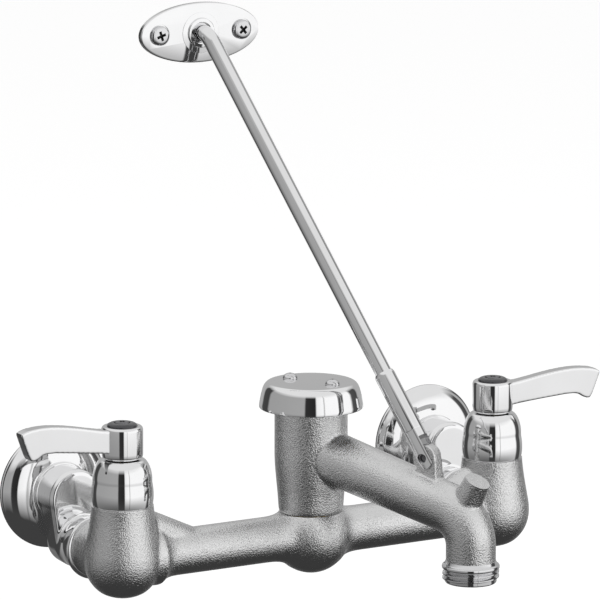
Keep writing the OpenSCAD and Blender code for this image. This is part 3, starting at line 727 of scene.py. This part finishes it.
nearScrew = crossScrew("capScrews", capScrew)
farScrew = copyOf(nearScrew, "farScrew")
for sign, turn, piece in ((-1, -35, nearScrew), (1, 35, farScrew)):
    setDown(piece, (0, sign * cap["screwReach"], cap["foot"] + cap["height"]), (0, 0, turn))
capScrews = joined("capScrews", farScrew, nearScrew)
onSpout(capScrews)
dress(capScrews, "spout", "steel_fasteners", looks["screwSteel"], "cap_screws")
print("cap done")


# bonnets
bonnet = {
    "profile": [(12.55, 0, 0), (13.8, 0, 0.2), (14.1, 0.4, 0.3), (14.5, 3.4, 2), (14.5, 6.4, 2),
                (14.25, 9.0, 1.5), (13.85, 11.0, 1.5), (13.9, 13.4, 1.5), (13.5, 16.0, 1.2),
                (12.9, 18.0, 1.2), (12.0, 20.0, 1), (10.9, 21.4, 0.7), (10.0, 21.95, 0.4),
                (6.2, 22, 0.2), (6.0, 20.1, 0.2), (10.95, 19.1, 0), (10.95, 7.3, 0),
                (12.55, 7.3, 0)],
}
bonnetRight = turnedRing("bonnetShellRight", bonnet["profile"], 128)
bonnetLeft = copyOf(bonnetRight, "bonnetShellLeft")
for side, piece in (("left", bonnetLeft), ("right", bonnetRight)):
    onValve(piece, side, layout["valveZ"])
    dress(piece, "body", "polished_chrome", looks["polishedChrome"], "bonnet_" + side)


# handles
handle = {
    "foot": 27.2,
    "top": 42.5,
    "hub": [(0, 0, 0), (8.7, 0, 0.4), (9.55, 0.9, 0.8), (9.7, 2.5, 0.5), (9.7, 14.2, 0.8),
            (9.0, 15.3, 0.7), (0, 15.3, 0)],
    # along the lever: distance, top, bottom, half thickness
    "sections": [(0, 41.6, 30.4, 5.6), (6.0, 41.6, 30.4, 5.0), (9.0, 41.5, 30.6, 4.0),
                 (12.0, 41.9, 31.0, 3.45), (18.5, 43.2, 31.9, 3.3), (24, 44.4, 32.6, 3.3),
                 (30, 45.5, 33.3, 3.3), (36, 46.3, 34.0, 3.3), (40.5, 46.6, 34.2, 3.3),
                 (43.2, 46.6, 33.7, 3.3), (45.0, 46.5, 32.4, 3.3), (47.4, 46.3, 31.5, 3.3),
                 (49.0, 46.1, 31.7, 3.3), (50.1, 45.9, 33.6, 3.3), (51.4, 45.5, 37.0, 3.25),
                 (52.8, 45.0, 40.8, 3.2), (53.8, 44.6, 43.4, 3.1)],
    "ringSeat": 7.2,
    "ringDepth": 0.6,
    "stemHole": 4.0,
    "stemTop": 38.5,
    "voxel": 0.32,
    "smoothing": 14,
}
handleRight = turned("handleShellRight", rounded(handle["hub"]))
setDown(handleRight, (0, 0, handle["foot"]))
deselect()
s0, top0, bottom0, half0 = handle["sections"][0]
bpy.ops.mesh.primitive_plane_add(size=2, rotation=(0, math.pi / 2, 0))
lever = bpy.context.object
lever.scale = ((top0 - bottom0) / 2 * mm, half0 * mm, 1)
lever.location = (s0 * mm, 0, (top0 + bottom0) / 2 * mm)
settle(lever)
editMode("FACE")
bpy.ops.mesh.select_all(action="SELECT")
for s1, top1, bottom1, half1 in handle["sections"][1:]:
    middle0, middle1 = (top0 + bottom0) / 2, (top1 + bottom1) / 2
    extrudeBy(((s1 - s0) * mm, 0, (middle1 - middle0) * mm))
    bpy.ops.transform.resize(value=(1, half1 / half0, (top1 - bottom1) / (top0 - bottom0)),
                             center_override=(s1 * mm, 0, middle1 * mm))
    s0, top0, bottom0, half0 = s1, top1, bottom1, half1
objectMode()
cleanUp(lever)
melted(lever, handle["voxel"], handle["smoothing"])
combined(handleRight, lever, "UNION")
cutBy(handleRight, rod(handle["ringSeat"], handle["top"] - handle["ringDepth"], 50),
      rod(handle["stemHole"], 20, handle["stemTop"]))
cutBy(handleRight, slab(20, handle["foot"], half=12))
handleLeft = copyOf(handleRight, "handleShellLeft")
for side, piece in (("left", handleLeft), ("right", handleRight)):
    onValve(piece, side, 0, leverAngle[side])
    dress(piece, "lever_" + side, "polished_chrome", looks["polishedChrome"], "handle_" + side)

indexRing = {
    "foot": 41.9,
    "profile": [(2.1, 0, 0), (7.15, 0, 0), (7.15, 1.0, 0.4), (6.4, 1.75, 0.6), (5.2, 2.2, 0.5),
                (3.75, 2.2, 0.2), (3.7, 1.1, 0), (2.1, 1.1, 0)],
    "screwFoot": 1.1,
    "screwTurn": 20.0,
}
handleScrew = {
    "head": panHead, "headRadius": 3.5, "headHeight": 1.5, "shankRadius": 2.0,
    "shankLength": 11, "crossWidth": 1.2, "crossLength": 4.6,
}
ringRight = turnedRing("indexRingRight", indexRing["profile"])
ringLeft = copyOf(ringRight, "indexRingLeft")
screwRight = crossScrew("handleScrewRight", handleScrew)
setDown(screwRight, (0, 0, indexRing["foot"] + indexRing["screwFoot"]),
        (0, 0, indexRing["screwTurn"]))
screwLeft = copyOf(screwRight, "handleScrewLeft")
for side, ringPiece, screwPiece in (("left", ringLeft, screwLeft), ("right", ringRight, screwRight)):
    onValve(ringPiece, side, indexRing["foot"])
    dress(ringPiece, "lever_" + side, "dark_index", looks["darkIndex"], "index_ring_" + side)
    onValve(screwPiece, side)
    dress(screwPiece, "lever_" + side, "steel_fasteners", looks["darkScrew"], "handle_screw_" + side)
print("valves and handles done")


# offset arms, rings and flanges
offsetArm = {
    "upper": [(0, 5, 0), (13.3, 5, 0), (13.3, 8.6, 0), (13.7, 9.4, 0), (13.7, 25, 2.4), (0, 25, 0)],
    "lower": [(0, 10.4, 0), (12.1, 10.4, 4), (12.7, 22, 0), (12.5, 25.2, 2), (12.8, 28, 2),
              (13.6, 32, 2), (13.6, 40, 0), (0, 40, 0)],
    "waistTop": [(0, 10.0, 0), (13.4, 10.0, 1.2), (13.65, 24.9, 2.4), (0, 24.9, 0)],
    "waistFoot": [(0, 10.4, 0), (12.1, 10.4, 4), (12.7, 24.9, 2.4), (0, 24.9, 0)],
    "collar": [(12, 8.3, 0), (14.3, 8.3, 0.5), (14.5, 9.2, 0.5), (14.3, 10.1, 0.5), (12, 10.4, 0)],
    "shank": [(10.7, 0, 0), (13.25, 0, 0.3), (13.25, 9, 0), (10.7, 9, 0)],
    "tapped": 10.7,
    "waterway": 7.0,
    "face": 36.5,
    "voxel": 0.5,
    "smoothing": 5,
}
unionRing = {
    "profile": [(10.5, 36.5, 0), (13.6, 36.5, 0.2), (14.9, 37.0, 0.8), (15.15, 37.95, 0.9),
                (14.9, 38.9, 0.8), (13.6, 39.4, 0.2), (10.5, 39.4, 0)],
}
flange = {
    "profile": [(27.1, 0, 0), (28.3, 0, 0.2), (28.3, 1.4, 0.5), (27.5, 1.9, 0.4), (27.1, 2.3, 0.4),
                (26.0, 4.0, 1.5), (23.4, 5.9, 2.5), (19.6, 7.4, 2.5), (16.4, 8.2, 1),
                (14.9, 8.5, 0.3), (13.4, 8.5, 0.1), (13.4, 7.2, 0), (16.3, 7.0, 1),
                (19.4, 6.2, 1), (23.0, 4.7, 1), (25.6, 2.8, 0.5), (27.1, 1.0, 0.3)],
}
inlet, tailMouth = (layout["inletX"], 0), (layout["valveX"], layout["bodyZ"])
upper = towardRoom(turned("upper", rounded(offsetArm["upper"], 6)), *inlet)
lower = towardRoom(turned("lower", rounded(offsetArm["lower"], 8)), *tailMouth)
waistTop = towardRoom(turned("waistTop", rounded(offsetArm["waistTop"], 6), 64), *inlet)
waistFoot = towardRoom(turned("waistFoot", rounded(offsetArm["waistFoot"], 6), 64), *tailMouth)
waist = joined("waist", waistTop, waistFoot)
pick(waist)
editMode()
bpy.ops.mesh.select_all(action="SELECT")
bpy.ops.mesh.convex_hull()
objectMode()
armRight = joined("offsetArmRight", upper, lower, waist)
melted(armRight, offsetArm["voxel"], offsetArm["smoothing"])
cutBy(armRight, block((60, -60, -60), (140, -offsetArm["face"], 40)),
      block((60, -6, -60), (140, 10, 40)))
shankPiece = towardRoom(turnedRing("shank", offsetArm["shank"]), *inlet)
collarPiece = towardRoom(turnedRing("collar", offsetArm["collar"]), *inlet)
cutBy(armRight, towardRoom(rod(offsetArm["tapped"], -5, 10), *inlet),
      towardRoom(rod(offsetArm["waterway"], 11.5, 60), *tailMouth))
armRight = joined("offsetArmRight", shankPiece, collarPiece, armRight)
armLeft = mirrored(armRight, "offsetArmLeft")
unionRight = towardRoom(turnedRing("unionRingRight", unionRing["profile"]), *tailMouth)
unionLeft = mirrored(unionRight, "unionRingLeft")
flangeRight = towardRoom(turnedRing("flangeRight", flange["profile"], 128), *inlet)
flangeLeft = mirrored(flangeRight, "flangeLeft")
for side, armPiece, unionPiece, flangePiece in (("left", armLeft, unionLeft, flangeLeft),
                                                ("right", armRight, unionRight, flangeRight)):
    body = "arm_" + side
    dress(armPiece, body, "polished_chrome", looks["polishedChrome"], "offset_arm_" + side)
    dress(unionPiece, body, "polished_chrome", looks["polishedChrome"], "union_ring_" + side)
    dress(flangePiece, body, "polished_chrome", looks["polishedChrome"], "wall_flange_" + side)
print("arms and flanges done")


# brace
brace = {
    "forkLength": 13.9,
    "slotWidth": 6.9,
    "slotTop": 10.0,
    "pinHole": 2.35,
    "tipRadius": 5.3,
    "tipVoxel": 0.2,
    "studRadius": 3.0,
    "studLength": 8.0,
    "sleeveRadius": 4.9,
    "sleeveLength": 30.7,
    "sleeveBore": 4.02,
    "rodRadius": 3.97,
    "rodStart": 27.9,
    "rodEnd": 226.09,
    "rodBend": 7.0,
    "cornerGap": 10.2,
    "shoulderGap": 3.05,
    "neckRadius": 2.95,
    "neckLength": 1.9,
    "rivet": [(0, 0.35, 0), (3.6, 0.35, 0.3), (4.3, 0.7, 0.3), (4.3, 1.15, 0), (0, 1.15, 0)],
}
forkPin = {
    "profile": [(0, -2.6, 0), (1.3, -2.6, 0.2), (1.5, -3.5, 0.1), (1.95, -3.5, 0.1),
                (1.95, 3.5, 0.1), (1.5, 3.5, 0.1), (1.3, 2.6, 0.2), (0, 2.6, 0)],
}
rodWasher = {
    "profile": [(2.95, 2.25, 0), (4.8, 2.25, 0.15), (5.0, 2.65, 0.2), (4.8, 3.05, 0.15),
                (2.95, 3.05, 0)],
}
seam = brace["forkLength"]
studTop = seam + brace["studLength"]
mouth = seam + brace["sleeveLength"]
forkSide = rod(brace["sleeveRadius"], -8, seam, 96)
tipBall = setDown(rod(brace["tipRadius"], -8, 8, 96), (0, 0, 0), (0, 90, 0))
tipBlock = block((-8, -8, 0), (8, 8, 20))
tipShape = joined("tipShape", tipBall, tipBlock)
applied(tipShape, "REMESH", mode="VOXEL", voxel_size=brace["tipVoxel"] * mm)
combined(forkSide, tipShape, "INTERSECT")
slotHalf = brace["slotWidth"] / 2
cutBy(forkSide, block((-slotHalf, -9, -9), (slotHalf, 9, brace["slotTop"])))
cutBy(forkSide, setDown(rod(brace["pinHole"], -9, 9, 48), (0, 0, 0), (0, 90, 0)))
stud = rod(brace["studRadius"], seam - 1, studTop, 48)
forkPiece = joined("forkShell", stud, forkSide)
onBrace(forkPiece)
dress(forkPiece, "brace", "polished_chrome", looks["polishedChrome"], "brace_fork", angle=25)

pinPiece = turned("forkPinShell", rounded(forkPin["profile"]), 48)
setDown(pinPiece, (0, 0, 0), (0, 90, 0))
onBrace(pinPiece)
# the pin wears the dark screw finish, which paints the shade inside the fork's pin hole
dress(pinPiece, "brace", "steel_fasteners", looks["darkScrew"], "fork_pin")

sleevePiece = turnedRing("sleeveShell", [
    (brace["studRadius"], seam, 0), (4.7, seam, 0.15), (brace["sleeveRadius"], seam + 0.3, 0.2),
    (brace["sleeveRadius"], mouth - 1.2, 0.8), (4.4, mouth, 0.3), (brace["sleeveBore"], mouth, 0),
    (brace["sleeveBore"], studTop, 0), (brace["studRadius"], studTop, 0)])
onBrace(sleevePiece)
dress(sleevePiece, "brace", "polished_chrome", looks["polishedChrome"], "brace_sleeve")

# the rod is a disc extruded up the brace, spun round the corner and extruded to the wall
turnRad, riseRad = math.radians(layout["spoutTurn"]), math.radians(layout["braceRise"])
along = Vector((-math.sin(turnRad) * math.cos(riseRad), math.cos(turnRad) * math.cos(riseRad),
                math.sin(riseRad)))
toWall = Vector((0, 1, 0))
platePlace = (layout["plateX"], layout["plateZ"])
corner = Vector((layout["plateX"], -brace["cornerGap"], layout["plateZ"]))
rodTurn = along.angle(toWall)
rodTangent = brace["rodBend"] * math.tan(rodTurn / 2)
pinPoint = corner - along * brace["rodEnd"]
deselect()
bpy.ops.mesh.primitive_circle_add(vertices=64, radius=brace["rodRadius"] * mm, fill_type="NGON")
rodPiece = bpy.context.object
rodPiece.name = "rodShell"
rodPiece.rotation_euler = along.to_track_quat("Z", "Y").to_euler()
rodPiece.location = (pinPoint + along * brace["rodStart"]) * mm
settle(rodPiece)
editMode("FACE")
bpy.ops.mesh.select_all(action="SELECT")
extrudeBy(along * (brace["rodEnd"] - rodTangent - brace["rodStart"]) * mm)
spinAxis = toWall.cross(along).normalized()
inward = (toWall - along * along.y).normalized()
bendCentre = corner - along * rodTangent + inward * brace["rodBend"]
bpy.ops.mesh.spin(steps=20, angle=rodTurn, center=bendCentre * mm, axis=spinAxis)
extrudeBy((0, (brace["cornerGap"] - rodTangent - brace["shoulderGap"]) * mm, 0))
bpy.ops.mesh.inset(thickness=(brace["rodRadius"] - brace["neckRadius"]) * mm, depth=0)
extrudeBy((0, brace["neckLength"] * mm, 0))
objectMode()
cleanUp(rodPiece)
rivetPiece = towardRoom(turned("rivet", rounded(brace["rivet"]), 48), *platePlace)
rodPiece = joined("rodShell", rivetPiece, rodPiece)
dress(rodPiece, "rod", "polished_chrome", looks["polishedChrome"], "brace_rod")

washerPiece = towardRoom(turnedRing("washerShell", rodWasher["profile"], 64), *platePlace)
dress(washerPiece, "rod", "steel_fasteners", looks["screwSteel"], "rod_washer")
print("brace done")


# wall plate and its screws
plate = {
    "halfWidth": 32.0,
    "halfHeight": 14.25,
    "thickness": 3.0,
    "edge": 0.8,
    # the edge rises in two insets: width, and share of its height
    "edgeSteps": [(0.35, 0.75), (0.7, 0.25)],
    "lipOuter": 7.1,
    "lipInner": 5.3,
    "lipTop": 4.3,
    "floor": 2.2,
    "rodHole": 3.0,
    "rivetHole": 4.6,
    "rivetDepth": 1.2,
    "screwX": 22.225,
    "screwHole": 2.7,
    "seat": 0.5,
    "seatRadius": 5.4,
    "padRadius": 9.8,
    "padRise": 0.15,
}
wallScrew = {
    "head": panHead, "headRadius": 4.7, "headHeight": 2.4, "shankRadius": 2.1,
    "shankLength": 5, "crossWidth": 1.7, "crossLength": 6.6,
    "pointRadius": 0.6, "pointZ": -10.9, "threadTop": -4, "threadRadius": 2.4,
}
deselect()
bpy.ops.mesh.primitive_circle_add(vertices=128, radius=1, fill_type="NGON")
plateDisc = bpy.context.object
plateDisc.name = "plateShell"
plateDisc.scale = (plate["halfWidth"] * mm, plate["halfHeight"] * mm, 1)
settle(plateDisc)
editMode("FACE")
bpy.ops.mesh.select_all(action="SELECT")
extrudeBy((0, 0, (plate["thickness"] - plate["edge"]) * mm))
for width, share in plate["edgeSteps"]:
    bpy.ops.mesh.inset(thickness=width * mm, depth=plate["edge"] * share * mm)
objectMode()
cleanUp(plateDisc)
seatFoot = plate["thickness"] - plate["seat"]
screwPlaces = [(-plate["screwX"], 0, 0), (plate["screwX"], 0, 0)]
cutBy(plateDisc, rod(plate["lipInner"], plate["floor"], 10), rod(plate["rodHole"], -5, 10, 48),
      rod(plate["rivetHole"], -5, plate["rivetDepth"], 48))
cutBy(plateDisc, *[setDown(rod(plate["screwHole"], -5, 10, 48), place) for place in screwPlaces])
cutBy(plateDisc, *[setDown(rod(plate["seatRadius"], seatFoot, 10, 64), place)
                   for place in screwPlaces])
padTop = plate["thickness"] + plate["padRise"]
lipPiece = turnedRing("lip", [
    (plate["lipInner"], plate["floor"] + 0.2, 0), (plate["padRadius"], plate["floor"] + 0.2, 0),
    (plate["padRadius"], padTop, 0.1), (plate["lipOuter"], padTop + 0.1, 0.2),
    (plate["lipOuter"], plate["lipTop"], 0.6), (plate["lipInner"], plate["lipTop"], 0.5)])
plateShell = joined("plateShell", lipPiece, plateDisc)
towardRoom(plateShell, *platePlace)
dress(plateShell, "plate", "polished_chrome", looks["polishedChrome"], "wall_plate", angle=20)

leftScrew = crossScrew("wallScrews", wallScrew)
screwPoint = rod(wallScrew["pointRadius"], wallScrew["pointZ"], wallScrew["threadTop"], 32,
                 wallScrew["threadRadius"])
leftScrew = joined("wallScrews", screwPoint, leftScrew)
rightScrew = copyOf(leftScrew, "rightScrew")
for x, turn, piece in ((-plate["screwX"], 18, leftScrew), (plate["screwX"], 40, rightScrew)):
    setDown(piece, (x, 0, seatFoot), (0, 0, turn))
wallScrews = joined("wallScrews", rightScrew, leftScrew)
towardRoom(wallScrews, *platePlace)
dress(wallScrews, "plate", "steel_fasteners", looks["screwSteel"], "wall_screws")
print("wall plate done")


# floor, light and camera
studio = {
    "floorZ": -0.16,
    "floorSize": 60.0,
    "floorColor": (0.92, 0.92, 0.92),
    "floorGlow": 0.33,
    # the walls' tones by heading, from -180 to 180 degrees; the camera stands at -120
    "wallTones": [(-180, 0.36), (-136, 0.38), (-133, 0.03), (-111, 0.02), (-108, 0.9), (-93, 1.0),
                  (-91, 0.3), (-89, 1.0), (-20, 1.0), (-13, 0.08), (8, 0.06), (14, 0.42),
                  (60, 0.44), (98, 0.42), (104, 0.06), (126, 0.05), (132, 0.34), (180, 0.36)],
    "ceilingColor": (0.77, 0.77, 0.77),
    "ceilingFrom": (0.38, 0.62),
    # below the horizon the walls darken toward the ground
    "groundColor": (0.05, 0.05, 0.05),
    "groundFrom": (-0.13, -0.6),
    "lampAim": (0, -0.06, 0.03),
}
deselect()
bpy.ops.mesh.primitive_plane_add(size=studio["floorSize"], location=(0, 0, studio["floorZ"]))
floor = bpy.context.object
floor.name = "floor"
floorLook = bpy.data.materials.new("paleFloor")
floorLook.use_nodes = True
floorSurface = floorLook.node_tree.nodes["Principled BSDF"]
floorSurface.inputs["Base Color"].default_value = (*studio["floorColor"], 1)
floorSurface.inputs["Roughness"].default_value = 0.9
floorSurface.inputs["Specular IOR Level"].default_value = 0.0
floorSurface.inputs["Emission Color"].default_value = (*white, 1)
floorSurface.inputs["Emission Strength"].default_value = studio["floorGlow"]
# the metal mirrors the studio's walls, not the floor, as on a raised stand
floorNodes, floorLinks = floorLook.node_tree.nodes, floorLook.node_tree.links
floorPath = floorNodes.new("ShaderNodeLightPath")
clear = floorNodes.new("ShaderNodeBsdfTransparent")
floorMix = floorNodes.new("ShaderNodeMixShader")
floorLinks.new(floorPath.outputs["Is Glossy Ray"], floorMix.inputs["Fac"])
floorLinks.new(floorSurface.outputs["BSDF"], floorMix.inputs[1])
floorLinks.new(clear.outputs["BSDF"], floorMix.inputs[2])
floorLinks.new(floorMix.outputs["Shader"], floorNodes["Material Output"].inputs["Surface"])
floor.data.materials.append(floorLook)

world = bpy.data.worlds.new("studio")
bpy.context.scene.world = world
world.use_nodes = True
worldNodes, worldLinks = world.node_tree.nodes, world.node_tree.links
sky = worldNodes["Background"]
sky.inputs["Strength"].default_value = 1.0
direction = worldNodes.new("ShaderNodeTexCoord")
split = worldNodes.new("ShaderNodeSeparateXYZ")
heading = worldNodes.new("ShaderNodeMath")
heading.operation = "ARCTAN2"
turnShare = addSpread(worldNodes, -math.pi, math.pi)
walls = worldNodes.new("ShaderNodeValToRGB")
worldLinks.new(direction.outputs["Generated"], split.inputs["Vector"])
worldLinks.new(split.outputs["Y"], heading.inputs[0])
worldLinks.new(split.outputs["X"], heading.inputs[1])
worldLinks.new(heading.outputs[0], turnShare.inputs["Value"])
worldLinks.new(turnShare.outputs["Result"], walls.inputs["Fac"])
ramp = walls.color_ramp
while len(ramp.elements) < len(studio["wallTones"]):
    ramp.elements.new(0.5)
for element, (angle, value) in zip(ramp.elements, studio["wallTones"]):
    element.position = (angle + 180) / 360
    element.color = (value, value, value, 1)
ceilingMix = addColourMix(worldNodes, {"B": studio["ceilingColor"]})
ceiling = addSpread(worldNodes, *studio["ceilingFrom"])
worldLinks.new(split.outputs["Z"], ceiling.inputs["Value"])
worldLinks.new(ceiling.outputs["Result"], ceilingMix.inputs["Factor"])
worldLinks.new(walls.outputs["Color"], ceilingMix.inputs["A"])
groundMix = addColourMix(worldNodes, {"B": studio["groundColor"]})
ground = addSpread(worldNodes, *studio["groundFrom"])
worldLinks.new(split.outputs["Z"], ground.inputs["Value"])
worldLinks.new(ground.outputs["Result"], groundMix.inputs["Factor"])
worldLinks.new(ceilingMix.outputs["Result"], groundMix.inputs["A"])
# the camera sees plain white beyond the floor
path = worldNodes.new("ShaderNodeLightPath")
backdropMix = addColourMix(worldNodes, {"B": white})
worldLinks.new(path.outputs["Is Camera Ray"], backdropMix.inputs["Factor"])
worldLinks.new(groundMix.outputs["Result"], backdropMix.inputs["A"])
worldLinks.new(backdropMix.outputs["Result"], sky.inputs["Color"])

lamps = [
    {"name": "keyLamp", "place": (0.45, -1.5, 0.5), "size": (0.55, 0.55), "power": 2.6},
    {"name": "topLamp", "place": (0.0, -0.3, 1.9), "size": (1.2, 1.2), "power": 4.0},
]
for values in lamps:
    deselect()
    bpy.ops.object.light_add(type="AREA", location=values["place"])
    lamp = bpy.context.object
    lamp.name = values["name"]
    lamp.data.shape = "ELLIPSE"
    lamp.data.size, lamp.data.size_y = values["size"]
    lamp.data.energy = values["power"]
    lamp.visible_glossy = False
    aim = Vector(studio["lampAim"]) - lamp.location
    lamp.rotation_euler = aim.to_track_quat("-Z", "Y").to_euler()

camera = {
    "azimuth": -30.0,
    "elevation": 12.83,
    "distance": 2.6,
    "lens": 322.6,
    "aimRight": 0.01075,
    "aimUp": 0.03048,
}
az, el = math.radians(camera["azimuth"]), math.radians(camera["elevation"])
back = Vector((math.sin(az) * math.cos(el), -math.cos(az) * math.cos(el), math.sin(el)))
right = Vector((math.cos(az), math.sin(az), 0))
up = back.cross(right)
stand = Matrix((right, up, back)).transposed()
look = (-back + right * camera["aimRight"] + up * camera["aimUp"]).normalized()
tip = (-back).rotation_difference(look).to_matrix()
deselect()
bpy.ops.object.camera_add()
viewer = bpy.context.object
viewer.data.lens = camera["lens"]
viewer.data.sensor_width = 36.0
viewer.data.clip_start = 0.05
viewer.data.clip_end = 200.0
viewer.matrix_world = Matrix.Translation(back * camera["distance"]) @ (tip @ stand).to_4x4()
bpy.context.scene.camera = viewer
bpy.context.scene.view_settings.view_transform = "Standard"
print("studio done")
